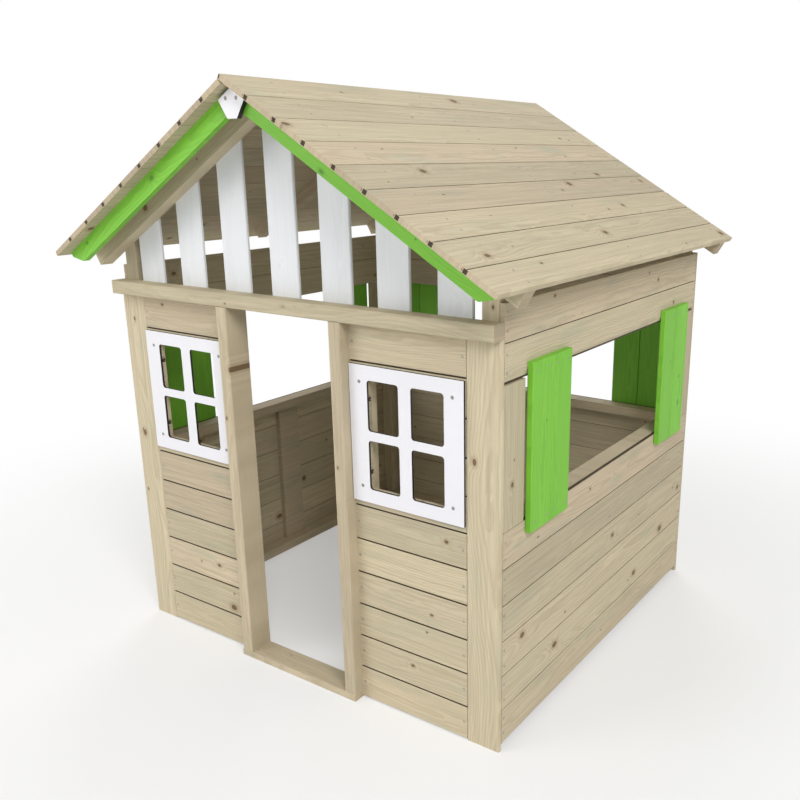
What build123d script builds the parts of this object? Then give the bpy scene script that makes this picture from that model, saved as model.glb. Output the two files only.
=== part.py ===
from build123d import *
import os
from math import cos, radians, sin, tan

# Children's garden playhouse of pressure-treated pine: tongue-and-groove walls and roof on a light
# frame, white slats in the gables, green shutters and barge boards, white laminate window panels.
# Millimetres; X to the right, Y from the front to the back, Z up.  The origin is on the ground,
# under the middle of the roof.  The doorway is in the front wall, on the -Y side.

os.makedirs("parts", exist_ok=True)

# ---- Timber ------------------------------------------------------------------------------------
board_cover = 87.0  # width that one tongue-and-groove board of a wall covers
board_thickness = 12.0  # tongue-and-groove boards and corner boards
plank_thickness = 16.0  # shutters, barge boards and studs
front_joint = 3.5  # open joint between two boards of a front wall
board_joint = 1.5  # open joint between two boards elsewhere
joint_bevel = 1.2  # eased edge on both sides of a joint
tongue_length = 9.0
tongue_thickness = 4.0
tongue_clearance = 0.4  # between a tongue and its groove, on each side
frame_width = 44.0  # posts, battens and rails are 44 x 28
frame_depth = 28.0
arris = 2.0  # eased edge of planed timber
seat_gap = 0.3  # left where a sawn end meets a sloping face

# ---- Plan --------------------------------------------------------------------------------------
doorway_width = 332.0
door_post_width = 34.0
door_post_depth = 68.0
window_wall_width = 316.0  # boarded panel on each side of the doorway
front_corner_width = 86.0
rear_corner_width = 76.0
body_depth = 1112.0
front_overhang = 133.0
rear_overhang = 83.0

body_width = doorway_width + 2 * (door_post_width + window_wall_width + front_corner_width)
half_width = body_width / 2
half_doorway = doorway_width / 2
window_wall_inner = half_doorway + door_post_width
window_wall_outer = half_width - front_corner_width
roof_length = body_depth + front_overhang + rear_overhang
front_y = front_overhang - roof_length / 2
rear_y = front_y + body_depth

# ---- Heights -----------------------------------------------------------------------------------
front_foot = 3.0  # lowest boards clear the ground
side_foot = 18.0
front_rows = 11
sill_rows = 6
opening_height = 325.0
top_board_height = 82.0  # uppermost board of a wall, ripped narrower
head_bevel_height = 18.0  # long bevel under the board over an opening
head_bevel_depth = 6.0

beam_foot = front_foot + front_rows * board_cover
sill_z = side_foot + sill_rows * board_cover
head_z = sill_z + opening_height
wall_top = head_z + board_cover + top_board_height

# ---- Roof --------------------------------------------------------------------------------------
roof_pitch = 30.5
roof_rows = 9
roof_board_cover = 89.0
eave_board_cover = 80.0  # lowest board of a slope
ridge_board_cover = 74.0  # uppermost board, up to where the undersides of the slopes meet
eave_gap = 70.0  # open gap between the top of a side wall and the roof over it
rafter_thickness = 36.0
rafter_depth = 38.0
middle_rafter_overhang = 26.0  # middle rafters end this far outside the side walls
middle_rafter_depth = 28.0
middle_rafter_thickness = 34.0

rise = tan(radians(roof_pitch))
slope_cos = cos(radians(roof_pitch))
slope_sin = sin(radians(roof_pitch))
ridge_underside = wall_top + eave_gap + half_width * rise
eave_along = eave_board_cover + (roof_rows - 2) * roof_board_cover + ridge_board_cover


def write(piece, name):
    """Label the finished piece and write its STEP file."""
    piece.part.label = name
    export_step(piece.part, f"parts/{name}.step")


def span(near, far):
    """Centre and length of the stretch between two values."""
    return (near + far) / 2, abs(far - near)


def side_name(side):
    """The name of a side: -1 is left and 1 is right, seen from the front."""
    return "left" if side < 0 else "right"


def bar(x_range, y_range, z_range, grain):
    """A planed bar or plank that fills the three ranges, with eased edges along its grain."""
    (x, width), (y, depth), (z, height) = span(*x_range), span(*y_range), span(*z_range)
    with BuildPart() as piece:
        with Locations((x, y, z)):
            Box(width, depth, height)
        chamfer(piece.edges().filter_by(grain), arris)
    return piece


def slope_point(side, along, below):
    """A point of the XZ plane, along the slope from the ridge and square below the roof's underside."""
    x = along * slope_cos - below * slope_sin
    z = ridge_underside - along * slope_sin - below * slope_cos
    return side * x, z


def roof_face(side):
    """The underside of one slope as a plane, with its normal pointing out of the roof."""
    return Plane(origin=(0, 0, ridge_underside), z_dir=(side * slope_sin, 0, slope_cos))


def upright_plane(y):
    """A plane across the house at y; a sketch on it is drawn in X and Z and extrudes to the front."""
    return Plane.XZ.offset(-y)


# ---- Tongue-and-groove boarding ----------------------------------------------------------------
# Boards lie on one another, tongue up, so that rain runs off the joints.  The lowest one of a
# stack has lost its groove and the uppermost one its tongue.


def boarding_section(covers, joint, foot_bevel_height=joint_bevel, foot_bevel_depth=joint_bevel):
    """Section of a stack of boards: local X from the inner face out, local Y up the stack."""
    feet = [sum(covers[:row]) for row in range(len(covers))]
    middle = board_thickness / 2
    face = board_thickness
    with BuildSketch() as section:
        for row, (foot, cover) in enumerate(zip(feet, covers)):
            rise_of_bevel = joint_bevel if row else foot_bevel_height
            depth_of_bevel = joint_bevel if row else foot_bevel_depth
            top = cover - joint
            with Locations((0, foot)):
                Polygon(
                    (0, 0),
                    (face - depth_of_bevel, 0),
                    (face, rise_of_bevel),
                    (face, top - joint_bevel),
                    (face - joint_bevel, top),
                    (0, top),
                    align=None,
                )
        for foot in feet[1:]:
            with Locations((middle, foot)):
                Rectangle(
                    tongue_thickness + 2 * tongue_clearance,
                    tongue_length + tongue_clearance,
                    align=(Align.CENTER, Align.MIN),
                    mode=Mode.SUBTRACT,
                )
            with Locations((middle, foot - joint)):
                Rectangle(tongue_thickness, tongue_length, align=(Align.CENTER, Align.MIN))
    return section.sketch


def boarding_plane(origin, outward, up):
    """The plane that a section of boards is drawn on, at the middle of the boards' length."""
    return Plane(origin=origin, x_dir=outward, z_dir=Vector(*outward).cross(Vector(*up)))


def boarding(section, plane, length):
    """Boards of the given section, as long as length."""
    with BuildPart() as boards:
        with BuildSketch(plane):
            add(section)
        extrude(amount=length / 2, both=True)
    return boards


UP = (0, 0, 1)
BACK = (0, 1, 0)
FRONT = (0, -1, 0)
front_section = boarding_section([board_cover] * front_rows, front_joint)
lower_section = boarding_section([board_cover] * sill_rows, board_joint)
upper_section = boarding_section(
    [board_cover, top_board_height], board_joint, head_bevel_height, head_bevel_depth
)

# ---- Corner posts and corner boards ------------------------------------------------------------
# A post stands in each corner, inside the boards, and reaches the roof.  A flat plank covers the
# front or back of the post and the ends of the side boards.
post_inner = half_width - board_thickness - frame_width
front_post_range = (front_y + board_thickness, front_y + board_thickness + frame_depth)
rear_post_range = (rear_y - board_thickness - frame_depth, rear_y - board_thickness)


def corner_post(side, y_range):
    """A post from the ground to the underside of the roof, sawn to the slope."""
    (x, width), (y, depth) = span(side * post_inner, side * (post_inner + frame_width)), span(*y_range)
    with BuildPart() as post:
        with BuildSketch(Plane.XY):
            with Locations((x, y)):
                Rectangle(width, depth)
        extrude(amount=ridge_underside)
        chamfer(post.edges().filter_by(Axis.Z), arris)
        split(bisect_by=roof_face(side).offset(-seat_gap), keep=Keep.BOTTOM)
    return post


for side in (-1, 1):
    write(corner_post(side, front_post_range), f"front_{side_name(side)}_post")
    write(corner_post(side, rear_post_range), f"rear_{side_name(side)}_post")
    front_corner = bar(
        (side * window_wall_outer, side * half_width),
        (front_y, front_y + board_thickness),
        (0, beam_foot),
        Axis.Z,
    )
    write(front_corner, f"front_{side_name(side)}_corner_board")
    rear_corner = bar(
        (side * (half_width - rear_corner_width), side * half_width),
        (rear_y - board_thickness, rear_y),
        (0, wall_top),
        Axis.Z,
    )
    write(rear_corner, f"rear_{side_name(side)}_corner_board")

# ---- Doorway -----------------------------------------------------------------------------------
# Two deep posts stand on a threshold plank and carry the beam, which runs across the whole front on
# top of the boards.
beam_height = 35.0
beam_proud = 30.0  # beam and door posts stand this far in front of the boards
threshold_height = 18.0
threshold_lip = 2.0  # the threshold stands this far in front of the door posts

beam_back = front_y + board_thickness
post_front = front_y - beam_proud
post_back = post_front + door_post_depth

beam = bar(
    (-half_width, half_width),
    (post_front, beam_back),
    (beam_foot, beam_foot + beam_height),
    Axis.X,
)
write(beam, "front_beam")
threshold = bar(
    (-window_wall_inner, window_wall_inner),
    (post_front - threshold_lip, post_back),
    (0, threshold_height),
    Axis.X,
)
write(threshold, "threshold")
for side in (-1, 1):
    door_post = bar(
        (side * half_doorway, side * window_wall_inner),
        (post_front, post_back),
        (threshold_height, beam_foot),
        Axis.Z,
    )
    write(door_post, f"{side_name(side)}_door_post")

# ---- Front walls and their windows -------------------------------------------------------------
# Each window is a white laminate panel with four rounded panes, screwed over one hole in the boards.
panel_thickness = 6.0
panel_width = 312.0
panel_height = 327.0
panel_foot = 539.0
pane_width = 88.0
pane_height = 119.0
pane_radius = 8.0
upright_bar = 34.0  # bars between the panes
level_bar = 22.0
pane_rebate = 2.0  # the hole in the boards is this much larger than the panes, all round
panel_screw_inset = 29.0
panel_screw_drop = 39.0
screw_hole_radius = 2.2
screw_sink_radius = 4.2

window_x = (window_wall_inner + window_wall_outer) / 2
window_z = panel_foot + panel_height / 2
hole_width = 2 * pane_width + upright_bar + 2 * pane_rebate
hole_height = 2 * pane_height + level_bar + 2 * pane_rebate


def window_panel(side):
    """One laminate panel, with its back on the boards."""
    with BuildPart() as panel:
        with BuildSketch(upright_plane(front_y)):
            with Locations((side * window_x, window_z)):
                Rectangle(panel_width, panel_height)
                with GridLocations(pane_width + upright_bar, pane_height + level_bar, 2, 2):
                    RectangleRounded(pane_width, pane_height, pane_radius, mode=Mode.SUBTRACT)
        extrude(amount=panel_thickness)
        with Locations(upright_plane(front_y - panel_thickness)):
            with Locations((side * window_x, window_z)):
                with GridLocations(
                    panel_width - 2 * panel_screw_inset, panel_height - 2 * panel_screw_drop, 2, 2
                ):
                    CounterSinkHole(screw_hole_radius, screw_sink_radius, panel_thickness)
    return panel


def front_boards(side):
    """The boards of one front wall, with the hole behind the window panel."""
    plane = boarding_plane((side * window_x, front_y + board_thickness, front_foot), FRONT, UP)
    with BuildPart() as boards:
        with BuildSketch(plane):
            add(front_section)
        extrude(amount=window_wall_width / 2, both=True)
        with BuildSketch(upright_plane(front_y + board_thickness)):
            with Locations((side * window_x, window_z)):
                Rectangle(hole_width, hole_height)
        extrude(amount=board_thickness, mode=Mode.SUBTRACT)
    return boards


def front_battens(side):
    """The upright battens behind the ends of the boards, by the door post and by the corner post."""
    with BuildPart() as battens:
        for inner in (window_wall_inner, post_inner - frame_width):
            x, width = span(side * inner, side * (inner + frame_width))
            with BuildSketch(Plane.XY.offset(front_foot)):
                with Locations((x, span(*front_post_range)[0])):
                    Rectangle(width, frame_depth)
        extrude(amount=beam_foot - front_foot)
        chamfer(battens.edges().filter_by(Axis.Z), arris)
    return battens


for side in (-1, 1):
    write(window_panel(side), f"{side_name(side)}_window_panel")
    write(front_boards(side), f"{side_name(side)}_front_boards")
    write(front_battens(side), f"{side_name(side)}_front_battens")

# ---- Side walls --------------------------------------------------------------------------------
# Six boards make the lower part, two boards the part over the opening, and a short upright board
# closes each end of the opening.
front_end_board_width = 86.0
rear_end_board_width = 78.0

side_y, side_length = span(front_y + board_thickness, rear_y - board_thickness)


def wall_end_board(side, outer_y, inner_y):
    """The upright board between the lower and the upper boards, at one end of an opening."""
    return bar(
        (side * (half_width - board_thickness), side * half_width),
        (outer_y, inner_y),
        (sill_z, head_z - board_joint),
        Axis.Z,
    )


for side in (-1, 1):
    inner_x = side * (half_width - board_thickness)
    outward = (side, 0, 0)
    lower = boarding(lower_section, boarding_plane((inner_x, side_y, side_foot), outward, UP), side_length)
    write(lower, f"{side_name(side)}_wall_lower_boards")
    upper = boarding(upper_section, boarding_plane((inner_x, side_y, head_z), outward, UP), side_length)
    write(upper, f"{side_name(side)}_wall_upper_boards")
    front_end = front_y + board_thickness
    front_board = wall_end_board(side, front_end, front_end + front_end_board_width)
    write(front_board, f"{side_name(side)}_wall_front_end_board")
    rear_end = rear_y - board_thickness
    rear_board = wall_end_board(side, rear_end - rear_end_board_width, rear_end)
    write(rear_board, f"{side_name(side)}_wall_rear_end_board")

# ---- Rear wall ---------------------------------------------------------------------------------
# It lies between the two rear corner boards, with its opening from one to the other.
rear_inner_y = rear_y - board_thickness
rear_length = body_width - 2 * rear_corner_width

lower = boarding(lower_section, boarding_plane((0, rear_inner_y, side_foot), BACK, UP), rear_length)
write(lower, "rear_wall_lower_boards")
upper = boarding(upper_section, boarding_plane((0, rear_inner_y, head_z), BACK, UP), rear_length)
write(upper, "rear_wall_upper_boards")

# ---- Inner frames ------------------------------------------------------------------------------
# Behind the lower boards of the side and rear walls: a bottom rail, a sill rail flush with the top
# of the boards and a wide stud between them.
stud_width = 85.0


def wall_frame(plane, length):
    """Rails and stud of one wall; the plane's X runs along the wall, its Y up and its normal inwards."""
    with BuildPart() as frame:
        for foot in (side_foot, sill_z - frame_depth):
            with BuildSketch(plane):
                with Locations((0, foot + frame_depth / 2)):
                    Rectangle(length, frame_depth)
        extrude(amount=frame_width)
        with BuildSketch(plane):
            with Locations((0, (side_foot + sill_z) / 2)):
                Rectangle(stud_width, sill_z - side_foot - 2 * frame_depth - 2 * seat_gap)
        extrude(amount=plank_thickness)
    return frame


frame_y, frame_length = span(front_post_range[1], rear_post_range[0])
for side in (-1, 1):
    inner_face = (side * (half_width - board_thickness), frame_y, 0)
    side_plane = Plane(origin=inner_face, x_dir=(0, -side, 0), z_dir=(-side, 0, 0))
    write(wall_frame(side_plane, frame_length), f"{side_name(side)}_wall_frame")
rear_plane = Plane(origin=(0, rear_inner_y, 0), x_dir=(1, 0, 0), z_dir=(0, -1, 0))
write(wall_frame(rear_plane, 2 * post_inner), "rear_wall_frame")

# ---- Shutters ----------------------------------------------------------------------------------
# Two upright planks side by side, screwed to the board under and the board over an opening.
shutter_plank_width = 88.0
shutter_foot = 511.0
shutter_height = 387.0
shutter_inset = 4.0  # from the end of the opening
plank_gap = 0.8


def shutter(plane):
    """One shutter, drawn in X and Z from its outer edge and extruded out of the wall."""
    with BuildPart() as pair:
        for column in range(2):
            left = column * (shutter_plank_width + plank_gap)
            with BuildSketch(plane):
                with Locations((left + shutter_plank_width / 2, shutter_foot + shutter_height / 2)):
                    Rectangle(shutter_plank_width, shutter_height)
        extrude(amount=plank_thickness)
        chamfer(pair.edges().filter_by(Axis.Z), arris)
    return pair


for side in (-1, 1):
    front_edge = front_y + board_thickness + front_end_board_width + shutter_inset
    rear_edge = rear_y - board_thickness - rear_end_board_width - shutter_inset
    pair_width = 2 * shutter_plank_width + plank_gap
    along = -pair_width if side < 0 else 0
    for name, edge in (("front", front_edge), ("rear", rear_edge - pair_width)):
        start = edge - along
        plane = Plane(origin=(side * half_width, start, 0), x_dir=(0, side, 0), z_dir=(side, 0, 0))
        write(shutter(plane), f"{side_name(side)}_wall_{name}_shutter")
    rear_start = side * (half_width - rear_corner_width - shutter_inset)
    right_hand = rear_start if side > 0 else rear_start + pair_width
    plane = Plane(origin=(right_hand, rear_y, 0), x_dir=(-1, 0, 0), z_dir=(0, 1, 0))
    write(shutter(plane), f"rear_wall_{side_name(side)}_shutter")

# ---- Gable slats -------------------------------------------------------------------------------
# Seven white planks stand side by side under each end of the roof.  The front ones are screwed to
# the back of the beam and of the rafters, the rear ones to a rail behind the top of the wall.
slat_width = 89.0
slat_thickness = 9.0
slat_count = 7
slat_end_gap = 20.0  # from a corner post to the slat beside it
gable_rail_height = 44.0

slat_pitch = (2 * (post_inner - slat_end_gap) - slat_width) / (slat_count - 1)
slat_places = [(number - (slat_count - 1) / 2) * slat_pitch for number in range(slat_count)]


def gable_slat(x, foot, y):
    """One slat from foot up to the roof, sawn to the slopes, with its front face at y."""
    with BuildPart() as slat:
        with BuildSketch(upright_plane(y + slat_thickness)):
            with Locations((x, (foot + ridge_underside) / 2)):
                Rectangle(slat_width, ridge_underside - foot)
        extrude(amount=slat_thickness)
        chamfer(slat.edges().filter_by(Axis.Z), arris)
        for side in (-1, 1):
            split(bisect_by=roof_face(side).offset(-seat_gap), keep=Keep.BOTTOM)
    return slat


for number, x in enumerate(slat_places, start=1):
    write(gable_slat(x, beam_foot, beam_back), f"front_gable_slat_{number}")
rear_slats = [gable_slat(x, wall_top, rear_inner_y).part for x in slat_places]
with BuildPart() as rear_gable_slats:
    add(rear_slats)
write(rear_gable_slats, "rear_gable_slats")
gable_rail = bar(
    (-post_inner, post_inner),
    rear_post_range,
    (wall_top - gable_rail_height / 2, wall_top + gable_rail_height / 2),
    Axis.X,
)
write(gable_rail, "rear_gable_rail")

# ---- Rafters -----------------------------------------------------------------------------------
# A pair at each end stands outside the gable slats and shows its tails under the eaves.  The pair
# in the middle is shallower and ends just outside the side walls.


def rafter(side, y_range, depth, length):
    """One rafter: a plumb cut at the ridge and a square cut at the tail."""
    y, thickness = span(*y_range)
    with BuildPart() as timber:
        with BuildSketch(upright_plane(y)):
            Polygon(
                (side * seat_gap, ridge_underside - seat_gap * rise),
                slope_point(side, length, 0),
                slope_point(side, length, depth),
                (side * seat_gap, ridge_underside - depth / slope_cos - seat_gap * rise),
                align=None,
            )
        extrude(amount=thickness / 2, both=True)
    return timber


front_range = (beam_back - rafter_thickness, beam_back)
rear_face = rear_inner_y + slat_thickness
rear_range = (rear_face, rear_face + rafter_thickness)
middle_range = (-middle_rafter_thickness / 2, middle_rafter_thickness / 2)
middle_length = (half_width + middle_rafter_overhang) / slope_cos
for side in (-1, 1):
    write(rafter(side, front_range, rafter_depth, eave_along), f"front_{side_name(side)}_rafter")
    write(rafter(side, rear_range, rafter_depth, eave_along), f"rear_{side_name(side)}_rafter")
    middle = rafter(side, middle_range, middle_rafter_depth, middle_length)
    write(middle, f"middle_{side_name(side)}_rafter")

# ---- Roof boards -------------------------------------------------------------------------------
# Nine boards on each slope run from front to back.  The top board on the right laps over the edge
# of the top board on the left and so closes the ridge.
ridge_lap = board_thickness / sin(radians(2 * roof_pitch))
ridge_setback = board_thickness / tan(radians(2 * roof_pitch)) + seat_gap
roof_covers = [eave_board_cover] + [roof_board_cover] * (roof_rows - 2)

for side, change in ((-1, -ridge_setback), (1, ridge_lap)):
    top_cover = ridge_board_cover + change + board_joint
    section = boarding_section(roof_covers + [top_cover], board_joint)
    eave_x, eave_z = slope_point(side, eave_along, 0)
    outward = (side * slope_sin, 0, slope_cos)
    up_slope = (-side * slope_cos, 0, slope_sin)
    roof = boarding(section, boarding_plane((eave_x, 0, eave_z), outward, up_slope), roof_length)
    write(roof, f"{side_name(side)}_roof_boards")

# ---- Barge boards and ridge plate --------------------------------------------------------------
# Green boards hang under the front edge of the roof.  A white five-sided plate covers their joint.
barge_depth = 42.0
barge_inset = 34.0  # from the front edge of the roof to the face of the boards
barge_end_setback = 11.0  # from the eave to the end, along the slope
barge_end_height = 12.0  # square upper part of the end
barge_end_slant = 34.0  # the lower corner is this much further in
barge_tip_radius = 10.0
plate_thickness = 12.0
plate_gap = 9.0  # from the roof's underside to the point of the plate
plate_shoulder = 39.5
plate_shoulder_drop = 24.0
plate_foot = 14.5
plate_foot_drop = 62.0
plate_screw_x = 16.0
plate_screw_drop = 21.0

barge_face_y = -roof_length / 2 + barge_inset


def barge_board(side):
    """One barge board; its lower end is square at the top, then slants in with rounded corners."""
    end = eave_along - barge_end_setback
    with BuildPart() as barge:
        with BuildSketch(upright_plane(barge_face_y + plank_thickness)) as outline:
            Polygon(
                (side * seat_gap, ridge_underside - seat_gap * rise),
                slope_point(side, end, 0),
                slope_point(side, end, barge_end_height),
                slope_point(side, end - barge_end_slant, barge_depth),
                (side * seat_gap, ridge_underside - barge_depth / slope_cos - seat_gap * rise),
                align=None,
            )
            corners = outline.vertices().sort_by(lambda corner: side * corner.X)
            fillet(corners[-3:-1], barge_tip_radius)
        extrude(amount=plank_thickness)
    return barge


for side in (-1, 1):
    write(barge_board(side), f"{side_name(side)}_barge_board")

plate_top = ridge_underside - plate_gap
with BuildPart() as ridge_plate:
    with BuildSketch(upright_plane(barge_face_y)):
        Polygon(
            (0, plate_top),
            (plate_shoulder, plate_top - plate_shoulder_drop),
            (plate_foot, plate_top - plate_foot_drop),
            (-plate_foot, plate_top - plate_foot_drop),
            (-plate_shoulder, plate_top - plate_shoulder_drop),
            align=None,
        )
    extrude(amount=plate_thickness)
    with Locations(upright_plane(barge_face_y - plate_thickness)):
        with Locations((0, plate_top - plate_screw_drop)):
            with GridLocations(2 * plate_screw_x, 1, 2, 1):
                CounterSinkHole(screw_hole_radius, screw_sink_radius, plate_thickness)
write(ridge_plate, "ridge_plate")
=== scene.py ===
import math

import bmesh
import bpy
from mathutils import Euler, Matrix, Vector


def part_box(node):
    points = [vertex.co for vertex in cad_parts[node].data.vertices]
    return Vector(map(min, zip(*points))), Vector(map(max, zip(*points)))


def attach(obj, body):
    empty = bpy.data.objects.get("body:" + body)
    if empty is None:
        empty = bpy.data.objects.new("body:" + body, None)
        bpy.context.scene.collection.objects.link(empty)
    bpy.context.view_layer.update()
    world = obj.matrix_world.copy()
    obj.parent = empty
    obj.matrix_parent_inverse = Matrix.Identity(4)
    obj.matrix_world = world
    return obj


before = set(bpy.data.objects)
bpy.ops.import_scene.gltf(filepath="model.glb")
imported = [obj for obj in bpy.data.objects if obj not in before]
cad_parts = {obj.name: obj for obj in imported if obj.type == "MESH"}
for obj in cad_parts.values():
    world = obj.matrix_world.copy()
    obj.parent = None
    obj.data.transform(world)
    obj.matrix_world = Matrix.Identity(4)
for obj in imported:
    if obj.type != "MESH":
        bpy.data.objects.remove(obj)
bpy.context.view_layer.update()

# ---- Treated pine: posts, door posts and corner boards -----------------------------------------
# The house is sawn and planed from pressure-treated pine, left unpainted.  The wood is a dull
# straw colour with grey-green stains from the treatment, brown knots and fine growth rings, and
# its sawn ends are darker and slightly pink.
RIGHT = Vector((1, 0, 0))
BACK = Vector((0, 1, 0))
UP = Vector((0, 0, 1))


class Signal:
    """A value that changes over a surface; arithmetic on it adds Math nodes."""

    def __init__(self, finish, socket):
        self.finish = finish
        self.socket = socket

    def maths(self, operation, *values):
        """A Math node on the values, of which the first is often this signal."""
        return self.finish.add("ShaderNodeMath", {"operation": operation}, dict(enumerate(values)))

    def __add__(self, other):
        return self.maths("ADD", self, other)

    def __sub__(self, other):
        return self.maths("SUBTRACT", self, other)

    def __rsub__(self, other):
        return self.maths("SUBTRACT", other, self)

    def __mul__(self, other):
        return self.maths("MULTIPLY", self, other)

    def __truediv__(self, other):
        return self.maths("DIVIDE", self, other)

    def __neg__(self):
        return self.maths("MULTIPLY", self, -1.0)

    def __abs__(self):
        return self.maths("ABSOLUTE", self)

    __radd__ = __add__
    __rmul__ = __mul__

    def floor(self):
        return self.maths("FLOOR", self)

    def fraction(self):
        return self.maths("FRACT", self)

    def root(self):
        return self.maths("SQRT", self)

    def exp(self):
        return self.maths("EXPONENT", self)

    def step(self, start, end):
        """0 before start and 1 after end, with a smooth rise between them."""
        settings = {"interpolation_type": "SMOOTHSTEP"}
        return self.finish.add("ShaderNodeMapRange", settings, {0: self, 1: start, 2: end, 3: 0.0, 4: 1.0})


class Finish:
    """One material, built from nodes on a principled shader."""

    def __init__(self, name):
        self.material = bpy.data.materials.new(name)
        self.material.use_nodes = True
        self.tree = self.material.node_tree
        self.shader = self.tree.nodes["Principled BSDF"]

    def add(self, kind, settings, inputs, output=0):
        """A node of that type with its settings and inputs, as the signal of one of its outputs."""
        node = self.tree.nodes.new(kind)
        for setting, value in settings.items():
            setattr(node, setting, value)
        for place, value in inputs.items():
            if isinstance(value, Signal):
                self.tree.links.new(value.socket, node.inputs[place])
            else:
                node.inputs[place].default_value = value
        return Signal(self, node.outputs[output])

    def along(self, direction):
        """How far a point lies along a direction, in millimetres."""
        place = self.add("ShaderNodeTexCoord", {}, {}, "Object")
        return self.dot(place, direction) * 1000.0

    def facing(self, direction):
        """1 on faces square to a direction, 0 on faces along it."""
        normal = self.add("ShaderNodeTexCoord", {}, {}, "Normal")
        return abs(self.dot(normal, direction)).step(0.6, 0.8)

    def dot(self, vector, direction):
        settings = {"operation": "DOT_PRODUCT"}
        return self.add("ShaderNodeVectorMath", settings, {0: vector, 1: tuple(direction)}, "Value")

    def vector(self, x, y, z):
        return self.add("ShaderNodeCombineXYZ", {}, {0: x, 1: y, 2: z})

    def noise(self, vector, detail=2.0, roughness=0.5):
        """Smooth noise from 0 to 1 at one cycle for each unit of the vector."""
        inputs = {"Vector": vector, "Scale": 1.0, "Detail": detail, "Roughness": roughness}
        return self.add("ShaderNodeTexNoise", {"noise_dimensions": "3D"}, inputs, 0)

    def chance(self, x, y, z):
        """Three random values from 0 to 1 that are the same wherever x, y and z are."""
        colour = self.add("ShaderNodeTexWhiteNoise", {"noise_dimensions": "3D"}, {0: self.vector(x, y, z)}, 1)
        return [self.add("ShaderNodeSeparateColor", {}, {0: colour}, part) for part in range(3)]

    def mix(self, share, first, second):
        """A colour between two others."""
        inputs = {0: share, 6: self.opaque(first), 7: self.opaque(second)}
        return self.add("ShaderNodeMix", {"data_type": "RGBA"}, inputs, 2)

    def shade(self, colour, amount):
        """A colour made darker or lighter by an amount that may change over the surface."""
        grey = self.add("ShaderNodeCombineColor", {}, {0: amount, 1: amount, 2: amount})
        inputs = {0: 1.0, 6: self.opaque(colour), 7: grey}
        return self.add("ShaderNodeMix", {"data_type": "RGBA", "blend_type": "MULTIPLY"}, inputs, 2)

    def opaque(self, colour):
        return colour if isinstance(colour, Signal) else (*colour, 1.0)

    def feed(self, socket, value):
        """Sets a socket of the shader, or links a signal to it."""
        if isinstance(value, Signal):
            self.tree.links.new(value.socket, self.shader.inputs[socket])
        else:
            self.shader.inputs[socket].default_value = value

    def relief(self, height, depth):
        """Makes the surface rise by height, from 0 to 1, times depth in metres."""
        inputs = {"Strength": 1.0, "Distance": depth, "Height": height}
        self.feed("Normal", self.add("ShaderNodeBump", {}, inputs))


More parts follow.
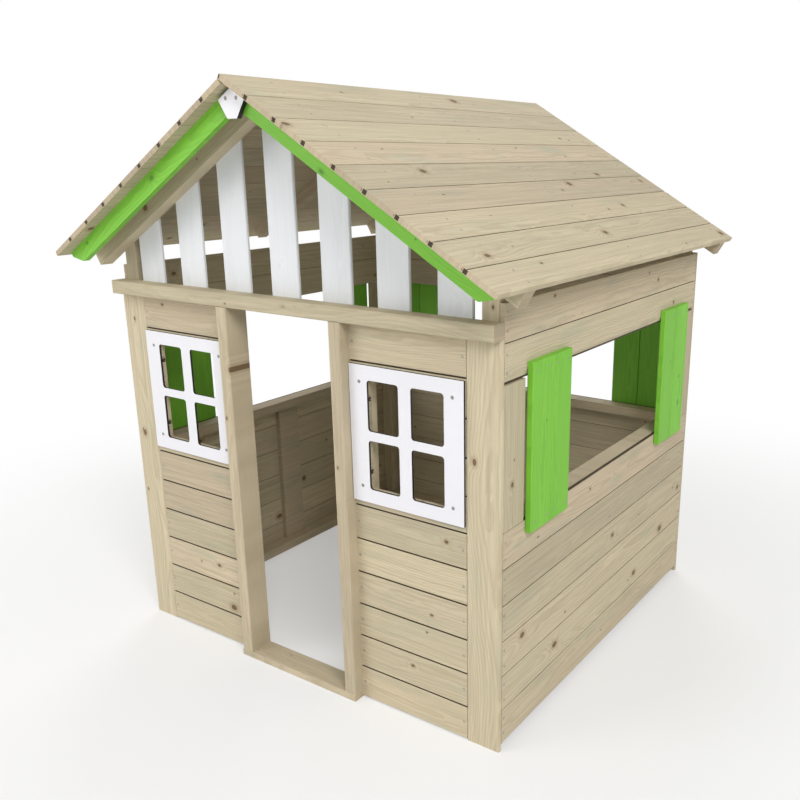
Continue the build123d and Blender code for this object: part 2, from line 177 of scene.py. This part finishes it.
class Grain:
    """The figure of pine on one set of boards: rings, knots, fibres and stains, as signals.

    u runs along the boards, v across their faces and w through them, in millimetres.  Boards of one
    width lie side by side from start; a single bar is one board.
    """

    LOG_LENGTH = 9000.0
    PITH_SPREAD = 0.9
    PITH_STRAY = 120.0
    PITH_DEPTH = 14.0
    PITH_DEPTH_RANGE = 30.0
    PITH_RISE = 36.0
    RING_LEAST = 3.4
    RING_RANGE = 2.6
    KNOT_PUSH = 11.0
    PIN_KNOT_PUSH = 4.0
    KNOT_SPREAD = 56.0
    # Where painted shade goes in the joints between boards: how far in from a board's edge and how deep below
    # its face, in millimetres.
    JOINT_SHADE_WIDTH = 6.0
    JOINT_SHADE_CORE = 4.5
    JOINT_SHADE_TOP = 0.5
    JOINT_SHADE_FULL = 1.6
    JOINT_SHADE_FADE = 10.0
    JOINT_SHADE_FOOT = 11.0

    def __init__(self, finish, grain, across, start, width, seed):
        outward = Vector(grain).cross(Vector(across))
        self.half_width = width / 2
        u = finish.along(grain)
        v = finish.along(across) - start
        w = finish.along(outward)
        board = (v / width).floor()
        self.finish = finish
        self.board = board
        self.v = v - board * width - width / 2
        self.tone, self.tint, pith = finish.chance(board, seed, 0.5)
        shift, spacing, depth = finish.chance(board, seed, 1.5)
        self.u = u + shift * self.LOG_LENGTH
        wander = finish.noise(finish.vector(self.u * 0.0016, board * 7.3, seed), 1.0)
        pith_v = (pith - 0.5) * width * self.PITH_SPREAD + (wander - 0.5) * self.PITH_STRAY
        pith_w = depth * self.PITH_DEPTH_RANGE + self.PITH_DEPTH + (wander - 0.5) * self.PITH_RISE
        wobble = finish.noise(finish.vector(self.u * 0.012, self.v * 0.04, seed), 2.0)
        aside = self.v - pith_v
        under = finish.noise(finish.vector(self.u * 0.0009, seed, board), 0.0) * 20.0 + pith_w
        from_pith = (aside * aside + under * under).root() + (wobble - 0.5) * 7.0
        knot, halo, swirl = self.knots(spacing=420.0, radius=6.5, share=0.45, seed=seed)
        pin_knot, pin_halo, pin_swirl = self.knots(spacing=260.0, radius=2.4, share=0.45, seed=seed + 31)
        self.knot = knot.maths("MAXIMUM", knot, pin_knot)
        self.halo = halo.maths("MAXIMUM", halo, pin_halo)
        pushed = from_pith + swirl * self.KNOT_PUSH + pin_swirl * self.PIN_KNOT_PUSH
        turn = (pushed / (spacing * self.RING_RANGE + self.RING_LEAST)).fraction()
        self.late = turn.step(0.25, 0.88) * (1.0 - turn.step(0.9, 1.0))
        fibre_place = finish.vector(self.u * 0.02, self.v * 1.1, w * 1.1)
        self.fibre = finish.noise(fibre_place, 3.0, 0.6)
        streak_place = finish.vector(self.u * 0.0035, self.v * 0.11, seed + 4.0)
        self.streak = finish.noise(streak_place, 3.0, 0.55)
        stain_place = finish.vector(self.u * 0.004, self.v * 0.016 + board * 3.0, seed + 8.0)
        self.stain = finish.noise(stain_place, 4.0, 0.62).step(0.5, 0.74)

    def joint(self, outward, face):
        """Painted shade: 1 in the joints between boards, below their outer face, which lies at that distance.
        """
        depth = face - self.finish.along(outward)
        near_edge = abs(self.v).step(self.half_width - self.JOINT_SHADE_WIDTH, self.half_width - self.JOINT_SHADE_CORE)
        below_face = depth.step(self.JOINT_SHADE_TOP, self.JOINT_SHADE_FULL)
        return near_edge * below_face * (1.0 - depth.step(self.JOINT_SHADE_FADE, self.JOINT_SHADE_FOOT))

    def knots(self, spacing, radius, share, seed):
        """A share of the stretches of each board has a knot: its core, halo and the swirl round it."""
        finish = self.finish
        stretch = (self.u / spacing).floor()
        place_u, place_v, size = finish.chance(stretch, self.board, seed + 2.5)
        present, squash = finish.chance(stretch, self.board, seed + 3.5)[:2]
        du = self.u - (stretch + 0.3 + place_u * 0.4) * spacing
        dv = self.v - (place_v - 0.5) * self.KNOT_SPREAD
        uneven = finish.noise(finish.vector(du * 0.12, dv * 0.12, seed), 1.0) - 0.5
        knot_radius = (size * 0.9 + 0.55) * radius
        stretched = du / (squash * 0.7 + 1.0)
        away = (stretched * stretched + dv * dv).root() / knot_radius + uneven * 0.35
        there = present.step(1 - share, 1 - share + 0.01)
        core = (1.0 - away.step(0.8, 1.0)) * there
        halo = (1.0 - away.step(0.9, 2.6)) * there
        swirl = (-(away * away) * 0.16).exp() * there
        return core, halo, swirl


STRAW = (0.640, 0.555, 0.385)
LATE_WOOD = (0.420, 0.335, 0.200)
GREEN_STAIN = (0.440, 0.460, 0.330)
PINK_STRAW = (0.660, 0.530, 0.380)
KNOT_BROWN = (0.150, 0.085, 0.040)
KNOT_RIM = (0.360, 0.250, 0.130)
SAWN_END = (0.500, 0.400, 0.280)
# Near-black painted shade for the recesses in the joints between boards.
PAINTED_JOINT_SHADE = (0.030, 0.018, 0.008)


def planed_pine(name, grain, across, start, width, seed, joint_side=None):
    """Unpainted treated pine for boards of that width that lie side by side from start, in mm.

    joint_side is the outward direction and the place of the boards' face; painted shade darkens the joints
    below that face.
    """
    finish = Finish(name)
    wood = Grain(finish, grain, across, start, width, seed)
    end = finish.facing(grain)
    colour = finish.mix(wood.tint.step(0.35, 1.0) * 0.6, STRAW, PINK_STRAW)
    colour = finish.mix(wood.late * (0.2 + wood.tone * 0.16), colour, LATE_WOOD)
    colour = finish.mix(wood.stain * (0.2 + wood.tint * 0.45), colour, GREEN_STAIN)
    colour = finish.mix(wood.halo * 0.45, colour, KNOT_RIM)
    colour = finish.mix(wood.knot * 0.85, colour, KNOT_BROWN)
    colour = finish.mix(end * 0.55, colour, SAWN_END)
    light = 0.74 + wood.tone * 0.2 + (wood.streak - 0.5) * 0.42 + (wood.fibre - 0.5) * 0.26
    colour = finish.shade(colour, light)
    # Paints shade into the recessed joints, near the boards' edges and below their face.
    if joint_side:
        colour = finish.mix(wood.joint(*joint_side) * 0.93, colour, PAINTED_JOINT_SHADE)
    finish.feed("Base Color", colour)
    finish.feed("Roughness", 0.62 + wood.fibre * 0.25)
    finish.shader.inputs["Specular IOR Level"].default_value = 0.3
    finish.relief(wood.late * 0.35 + wood.fibre * 0.65 - wood.knot * 0.3, 0.0006)
    return finish.material


def dress(node, material):
    """Gives a node of the frame its finish."""
    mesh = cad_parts[node].data
    mesh.materials.clear()
    mesh.materials.append(material)


def single_bar(node, grain, across, seed, finish=planed_pine):
    """Finishes a node that is one bar or plank, whose figure is centred across it."""
    low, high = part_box(node)
    start = min(low.dot(across), high.dot(across)) * 1000.0
    width = abs((high - low).dot(across)) * 1000.0
    dress(node, finish(f"{node}_finish", grain, across, start - 1.0, width + 2.0, seed))


seed = 1.0
for side in ("left", "right"):
    for end in ("front", "rear"):
        single_bar(f"{end}_{side}_post", UP, RIGHT, seed)
        single_bar(f"{end}_{side}_corner_board", UP, RIGHT, seed + 1)
        seed += 2
    single_bar(f"{side}_door_post", UP, RIGHT, seed)
    seed += 1

# ---- Beam and threshold ------------------------------------------------------------------------
# One bar runs across the whole front over the doorway, and a plank lies on the ground between the
# door posts.  Both are the same planed pine with its grain from side to side.
single_bar("front_beam", RIGHT, UP, 20.0)
single_bar("threshold", RIGHT, BACK, 21.0)

# ---- Boarded walls -----------------------------------------------------------------------------
# Tongue-and-groove boards of pine, nailed level to the posts and battens.  Each is cut from another
# tree, so tone, rings and knots change from board to board.
BOARD_COVER = 87.0


def reach(node, direction):
    """How near and how far a node's surface lies along a direction, in millimetres."""
    places = [vertex.co.dot(direction) * 1000.0 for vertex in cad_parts[node].data.vertices]
    return min(places), max(places)


def boarded(node, grain, across, outward, seed, cover=BOARD_COVER, first_cover=BOARD_COVER):
    """Finishes a stack of boards, counted from its foot, where the first one may be narrower."""
    start = reach(node, across)[0] - (cover - first_cover)
    joint_side = (outward, reach(node, outward)[1])
    dress(node, planed_pine(f"{node}_finish", grain, across, start, cover, seed, joint_side))


for number, (side, outward) in enumerate((("left", -RIGHT), ("right", RIGHT))):
    boarded(f"{side}_front_boards", RIGHT, UP, -BACK, 30.0 + number)
    boarded(f"{side}_wall_lower_boards", BACK, UP, outward, 33.0 + number)
    boarded(f"{side}_wall_upper_boards", BACK, UP, outward, 36.0 + number)
    single_bar(f"{side}_wall_front_end_board", UP, BACK, 39.0 + number)
    single_bar(f"{side}_wall_rear_end_board", UP, BACK, 42.0 + number)
boarded("rear_wall_lower_boards", RIGHT, UP, BACK, 45.0)
boarded("rear_wall_upper_boards", RIGHT, UP, BACK, 46.0)

# ---- Battens and inner frames ------------------------------------------------------------------
# Sawn pine behind the boards: upright battens in the front walls, rails and a wide stud in the
# others, and the rail that holds the rear gable slats.
for number, side in enumerate(("left", "right")):
    single_bar(f"{side}_front_battens", UP, RIGHT, 50.0 + number)
    single_bar(f"{side}_wall_frame", BACK, UP, 52.0 + number)
single_bar("rear_wall_frame", RIGHT, UP, 54.0)
single_bar("rear_gable_rail", RIGHT, UP, 55.0)

# ---- Rafters -----------------------------------------------------------------------------------
# A pair of pine rafters at each end of the roof and a shallower pair in the middle.  The grain
# follows the slope.
PITCH = math.radians(30.5)
SLOPES = {"left": -1.0, "right": 1.0}


def down_slope(side):
    return Vector((SLOPES[side] * math.cos(PITCH), 0, -math.sin(PITCH)))


def out_of_slope(side):
    return Vector((SLOPES[side] * math.sin(PITCH), 0, math.cos(PITCH)))


RAFTER_DROP = 80.0
RAFTER_FIGURE = 90.0
for number, side in enumerate(SLOPES):
    for place, end in enumerate(("front", "middle", "rear")):
        node = f"{end}_{side}_rafter"
        seed = 60.0 + 3 * number + place
        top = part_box(node)[1].z * 1000.0 * math.cos(PITCH)
        start = top - RAFTER_DROP
        figure = (down_slope(side), out_of_slope(side), start, RAFTER_FIGURE, seed)
        dress(node, planed_pine(f"{node}_finish", *figure))

# ---- Roof boards -------------------------------------------------------------------------------
# The same tongue-and-groove pine, laid from the eaves up, with sawn ends that show at the front.
ROOF_ROWS = 9
ROOF_COVER = 89.0
EAVE_COVER = 80.0
for number, side in enumerate(SLOPES):
    slope = (-down_slope(side), out_of_slope(side))
    boarded(f"{side}_roof_boards", BACK, *slope, 70.0 + number, ROOF_COVER, EAVE_COVER)

# ---- Shutters and barge boards -----------------------------------------------------------------
# Planed pine under a thin bright green stain, through which the grain and the knots still show.
LEAF_GREEN = (0.205, 0.560, 0.035)
DARK_GREEN = (0.070, 0.290, 0.012)
KNOT_GREEN = (0.030, 0.140, 0.010)


def green_stain(name, grain, across, start, width, seed):
    """Pine with a green stain."""
    finish = Finish(name)
    wood = Grain(finish, grain, across, start, width, seed)
    colour = finish.mix(wood.late * 0.22 + wood.stain * 0.18, LEAF_GREEN, DARK_GREEN)
    colour = finish.mix(wood.halo * 0.25 + wood.knot * 0.4, colour, KNOT_GREEN)
    light = 0.9 + wood.tone * 0.1 + (wood.streak - 0.5) * 0.16 + (wood.fibre - 0.5) * 0.1
    finish.feed("Base Color", finish.shade(colour, light))
    finish.feed("Roughness", 0.46 + wood.fibre * 0.2)
    finish.relief(wood.late * 0.3 + wood.fibre * 0.5 - wood.knot * 0.3, 0.0004)
    return finish.material


def shutter(node, across, seed):
    """Finishes a shutter, which is two planks side by side."""
    low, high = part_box(node)
    plank = (high - low).dot(across) * 500.0
    dress(node, green_stain(f"{node}_finish", UP, across, low.dot(across) * 1000.0, plank, seed))


BARGE_DROP = 75.0
BARGE_FIGURE = 90.0
for number, wall in enumerate(("left_wall_front", "left_wall_rear", "right_wall_front", "right_wall_rear")):
    shutter(f"{wall}_shutter", BACK, 80.0 + number)
for number, side in enumerate(SLOPES):
    shutter(f"rear_wall_{side}_shutter", RIGHT, 85.0 + number)
    node = f"{side}_barge_board"
    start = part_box(node)[1].z * 1000.0 * math.cos(PITCH) - BARGE_DROP
    figure = (down_slope(side), out_of_slope(side), start, BARGE_FIGURE, 88.0 + number)
    dress(node, green_stain(f"{node}_finish", *figure))

# ---- Gable slats -------------------------------------------------------------------------------
# Planed pine planks with a coat of white paint that leaves the grain faintly raised.
SLAT_WHITE = (0.760, 0.775, 0.800)
SLAT_GREY = (0.560, 0.575, 0.600)


def white_paint(name, grain, across, start, width, seed):
    """Pine with a coat of white paint."""
    finish = Finish(name)
    wood = Grain(finish, grain, across, start, width, seed)
    colour = finish.mix(wood.late * 0.1 + wood.stain * 0.25 + wood.knot * 0.2, SLAT_WHITE, SLAT_GREY)
    light = 0.96 + wood.tone * 0.04 + (wood.streak - 0.5) * 0.06
    finish.feed("Base Color", finish.shade(colour, light))
    finish.feed("Roughness", 0.42 + wood.fibre * 0.16)
    finish.relief(wood.late * 0.4 + wood.fibre * 0.4, 0.0003)
    return finish.material


for number in range(1, 8):
    single_bar(f"front_gable_slat_{number}", UP, RIGHT, 90.0 + number, white_paint)
first_slat, second_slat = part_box("front_gable_slat_1"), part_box("front_gable_slat_2")
slat_pitch = (second_slat[0].x - first_slat[0].x) * 1000.0
slat_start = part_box("rear_gable_slats")[0].x * 1000.0
dress("rear_gable_slats", white_paint("rear_gable_slats_finish", UP, RIGHT, slat_start, slat_pitch, 99.0))

# ---- Window panels and ridge plate -------------------------------------------------------------
# White high-pressure laminate, cut by a router, which bares its black core on every edge.
LAMINATE_WHITE = (0.780, 0.775, 0.810)
CORE_BLACK = (0.012, 0.012, 0.014)


def laminate(name):
    """White laminate with a black core."""
    finish = Finish(name)
    x, y, z = (finish.along(direction) for direction in (RIGHT, BACK, UP))
    pebble = finish.noise(finish.vector(x * 1.3, y * 1.3, z * 1.3), 2.0)
    cloud = finish.noise(finish.vector(x * 0.006, y * 0.006, z * 0.006), 2.0)
    face = finish.facing(BACK)
    white = finish.shade(LAMINATE_WHITE, 0.97 + cloud * 0.05)
    finish.feed("Base Color", finish.mix(face, CORE_BLACK, white))
    finish.feed("Roughness", 0.33 + pebble * 0.12)
    finish.relief(pebble, 0.00012)
    return finish.material


laminate_finish = laminate("white_laminate")
for node in ("left_window_panel", "right_window_panel", "ridge_plate"):
    dress(node, laminate_finish)

# ---- Screws ------------------------------------------------------------------------------------
# Zinc-plated wood screws with a six-lobed recess hold the panels, shutters and boards.  Their
# heads are driven level with the surface.
HEAD_RADIUS = 0.0032
HEAD_SIDES = 24


def add_head(mesh, place, normal):
    """One screw head: a low dome with a lobed recess in its middle."""
    turn = Vector(normal).to_track_quat("Z", "Y").to_matrix().to_4x4()
    rings = [
        (1.0, 0.0, -0.0008),
        (1.0, 0.0, 0.0001),
        (0.85, 0.0, 0.0004),
        (0.5, 0.06, 0.0005),
        (0.4, 0.06, -0.0007),
    ]
    loops = []
    for radius, lobe, height in rings:
        loop = []
        for side in range(HEAD_SIDES):
            angle = 2 * math.pi * side / HEAD_SIDES
            reach = HEAD_RADIUS * (radius + lobe * math.cos(6 * angle))
            point = turn @ Vector((reach * math.cos(angle), reach * math.sin(angle), height))
            loop.append(mesh.verts.new(Vector(place) + point))
        loops.append(loop)
    for lower, upper in zip(loops, loops[1:]):
        for side in range(HEAD_SIDES):
            after = (side + 1) % HEAD_SIDES
            mesh.faces.new((lower[side], lower[after], upper[after], upper[side]))
    mesh.faces.new(loops[-1])


zinc = Finish("zinc_plate")
zinc_tone = zinc.noise(zinc.vector(zinc.along(RIGHT) * 0.2, zinc.along(BACK) * 0.2, zinc.along(UP) * 0.2))
zinc.feed("Base Color", zinc.mix(zinc_tone, (0.26, 0.25, 0.22), (0.42, 0.41, 0.38)))
zinc.feed("Roughness", 0.38 + zinc_tone * 0.2)
zinc.shader.inputs["Metallic"].default_value = 1.0


def screws(name, places):
    """One object with all the screws of a group; places are pairs of a point and a normal."""
    mesh = bmesh.new()
    for place, normal in places:
        add_head(mesh, place, normal)
    data = bpy.data.meshes.new(name)
    mesh.to_mesh(data)
    mesh.free()
    data.materials.append(zinc.material)
    for polygon in data.polygons:
        polygon.use_smooth = True
    group = bpy.data.objects.new(name, data)
    bpy.context.collection.objects.link(group)
    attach(group, "root")


PANEL_INSET = 0.029
PANEL_DROP = 0.039
SINK_DEPTH = 0.0003
for side in SLOPES:
    low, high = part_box(f"{side}_window_panel")
    places = []
    for x in (low.x + PANEL_INSET, high.x - PANEL_INSET):
        for z in (low.z + PANEL_DROP, high.z - PANEL_DROP):
            places.append(((x, low.y + SINK_DEPTH, z), -BACK))
    screws(f"{side}_window_screws", places)

PLATE_ASIDE = 0.016
PLATE_DROP = 0.021
low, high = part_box("ridge_plate")
plate_row = (low.y + SINK_DEPTH, high.z - PLATE_DROP)
screws("ridge_plate_screws", [((x, *plate_row), -BACK) for x in (-PLATE_ASIDE, PLATE_ASIDE)])

SHUTTER_EDGE = 0.018
SHUTTER_TOP = 0.021
for node, axis in (
    ("left_wall_front_shutter", -RIGHT),
    ("left_wall_rear_shutter", -RIGHT),
    ("right_wall_front_shutter", RIGHT),
    ("right_wall_rear_shutter", RIGHT),
    ("rear_wall_left_shutter", BACK),
    ("rear_wall_right_shutter", BACK),
):
    low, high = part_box(node)
    face = high if axis.x + axis.y > 0 else low
    run = BACK if axis.x else RIGHT
    width = (high - low).dot(run)
    places = []
    for offset in (SHUTTER_EDGE, width / 2 - SHUTTER_EDGE, width / 2 + SHUTTER_EDGE, width - SHUTTER_EDGE):
        for z in (low.z + SHUTTER_TOP, high.z - SHUTTER_TOP):
            across = low.dot(run) + offset
            places.append(((face.x, across, z) if axis.x else (across, face.y, z), axis))
    screws(f"{node}_screws", places)

BOARD_END = 0.009
PANEL_MARGIN = 0.006
BOARD_OFFSETS = (0.023, 0.062)
BOARD_MIDDLE = (0.043,)


def board_rows(node, offsets=BOARD_OFFSETS):
    """The heights of the screws in a stack of boards, of which each has one at every offset."""
    low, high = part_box(node)
    rows = round((high.z - low.z) / (BOARD_COVER / 1000.0))
    return [low.z + row * BOARD_COVER / 1000.0 + offset for row in range(rows) for offset in offsets]


for side, turn in SLOPES.items():
    places = []
    for node in (f"{side}_wall_lower_boards", f"{side}_wall_upper_boards"):
        low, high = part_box(node)
        face = high.x if turn > 0 else low.x
        for z in board_rows(node):
            places.append(((face, low.y + BOARD_END, z), RIGHT * turn))
            places.append(((face, high.y - BOARD_END, z), RIGHT * turn))
    screws(f"{side}_wall_screws", places)
    node = f"{side}_front_boards"
    low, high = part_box(node)
    panel_low, panel_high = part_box(f"{side}_window_panel")
    places = []
    for z in board_rows(node, BOARD_MIDDLE):
        if panel_low.z - PANEL_MARGIN < z < panel_high.z + PANEL_MARGIN:
            continue
        places.append(((low.x + BOARD_END, low.y, z), -BACK))
        places.append(((high.x - BOARD_END, low.y, z), -BACK))
    screws(f"{side}_front_screws", places)

places = []
for node in ("rear_wall_lower_boards", "rear_wall_upper_boards"):
    low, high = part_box(node)
    for z in board_rows(node):
        places.append(((low.x + BOARD_END, high.y, z), BACK))
        places.append(((high.x - BOARD_END, high.y, z), BACK))
screws("rear_wall_screws", places)

# Each roof board has two screws into each rafter.
for side in SLOPES:
    node = f"{side}_roof_boards"
    up_slope = -down_slope(side)
    first_row = (reach(node, up_slope)[0] - (ROOF_COVER - EAVE_COVER)) / 1000.0
    surface = out_of_slope(side) * reach(node, out_of_slope(side))[1] / 1000.0
    places = []
    for end in ("front", "middle", "rear"):
        rafter_low, rafter_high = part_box(f"{end}_{side}_rafter")
        y = (rafter_low.y + rafter_high.y) / 2
        for row in range(ROOF_ROWS):
            for offset in BOARD_OFFSETS:
                point = surface + up_slope * (first_row + row * ROOF_COVER / 1000.0 + offset)
                places.append(((point.x, y, point.z), out_of_slope(side)))
    screws(f"{side}_roof_screws", places)

# ---- Studio ------------------------------------------------------------------------------------
# A pale floor and soft light from above and from the right.
FLOOR_HALF = 30.0
FADE_START = 0.9
FADE_END = 2.6
GLOW_NEAR = 0.35
floor_mesh = bpy.data.meshes.new("floor")
signs = ((-1, -1), (1, -1), (1, 1), (-1, 1))
corners = [(x * FLOOR_HALF, y * FLOOR_HALF, 0) for x, y in signs]
floor_mesh.from_pydata(corners, [], [(0, 1, 2, 3)])
floor = bpy.data.objects.new("floor", floor_mesh)
bpy.context.collection.objects.link(floor)

paper = Finish("studio_paper")
paper.feed("Base Color", (0.86, 0.86, 0.86, 1.0))
paper.feed("Roughness", 0.9)
far_x, far_y = paper.along(RIGHT), paper.along(BACK)
distance = (far_x * far_x + far_y * far_y).root() / 1000.0
seen = paper.add("ShaderNodeLightPath", {}, {}, "Is Camera Ray")
for other_ray in ("Is Glossy Ray", "Is Transmission Ray"):
    seen = seen.maths("MAXIMUM", seen, paper.add("ShaderNodeLightPath", {}, {}, other_ray))
white = paper.add("ShaderNodeEmission", {}, {"Color": (1, 1, 1, 1), "Strength": 1.0})
share = (GLOW_NEAR + (1 - GLOW_NEAR) * distance.step(FADE_START, FADE_END)) * seen
blend = paper.add("ShaderNodeMixShader", {}, {0: share, 1: Signal(paper, paper.shader.outputs[0]), 2: white})
paper.tree.links.new(blend.socket, paper.tree.nodes["Material Output"].inputs["Surface"])
floor_mesh.materials.append(paper.material)

world = bpy.data.worlds.new("studio")
bpy.context.scene.world = world
world.use_nodes = True
sky = world.node_tree.nodes
links = world.node_tree.links
room = sky["Background"]
room.inputs["Color"].default_value = (1.0, 0.99, 0.98, 1.0)
room.inputs["Strength"].default_value = 0.45
backdrop = sky.new("ShaderNodeBackground")
backdrop.inputs["Color"].default_value = (1, 1, 1, 1)
ray = sky.new("ShaderNodeLightPath")
either = sky.new("ShaderNodeMath")
either.operation = "MAXIMUM"
links.new(ray.outputs["Is Camera Ray"], either.inputs[0])
links.new(ray.outputs["Is Glossy Ray"], either.inputs[1])
choose = sky.new("ShaderNodeMixShader")
links.new(either.outputs[0], choose.inputs[0])
links.new(room.outputs[0], choose.inputs[1])
links.new(backdrop.outputs[0], choose.inputs[2])
links.new(choose.outputs[0], sky["World Output"].inputs["Surface"])


def lamp(name, place, target, size, power):
    """A square soft box that faces its target."""
    data = bpy.data.lights.new(name, "AREA")
    data.size = size
    data.energy = power
    light = bpy.data.objects.new(name, data)
    light.location = place
    light.rotation_euler = (Vector(target) - Vector(place)).to_track_quat("-Z", "Y").to_euler()
    bpy.context.collection.objects.link(light)


lamp("key", (4.5, -3.6, 5.2), (0, 0, 0.7), 3.0, 300.0)
lamp("fill", (-3.5, -5.0, 3.0), (0, 0, 0.7), 3.5, 135.0)
lamp("back", (-3.0, 5.0, 4.0), (0, 0, 0.8), 3.5, 125.0)

# ---- Camera ------------------------------------------------------------------------------------
# It stands to the right of the doorway, a little above the eaves.
camera_data = bpy.data.cameras.new("camera")
camera_data.lens = 39.41
camera_data.shift_x = -0.0877
camera_data.shift_y = 0.0153
camera = bpy.data.objects.new("camera", camera_data)
camera.location = (1.4905, -1.9854, 1.3124)
turned = Euler((math.radians(73.65), 0, math.radians(33.55))).to_matrix()
camera.rotation_euler = (turned @ Matrix.Rotation(math.radians(-0.13), 3, "Z")).to_euler()
bpy.context.collection.objects.link(camera)
bpy.context.scene.camera = camera
bpy.context.scene.view_settings.view_transform = "Standard"
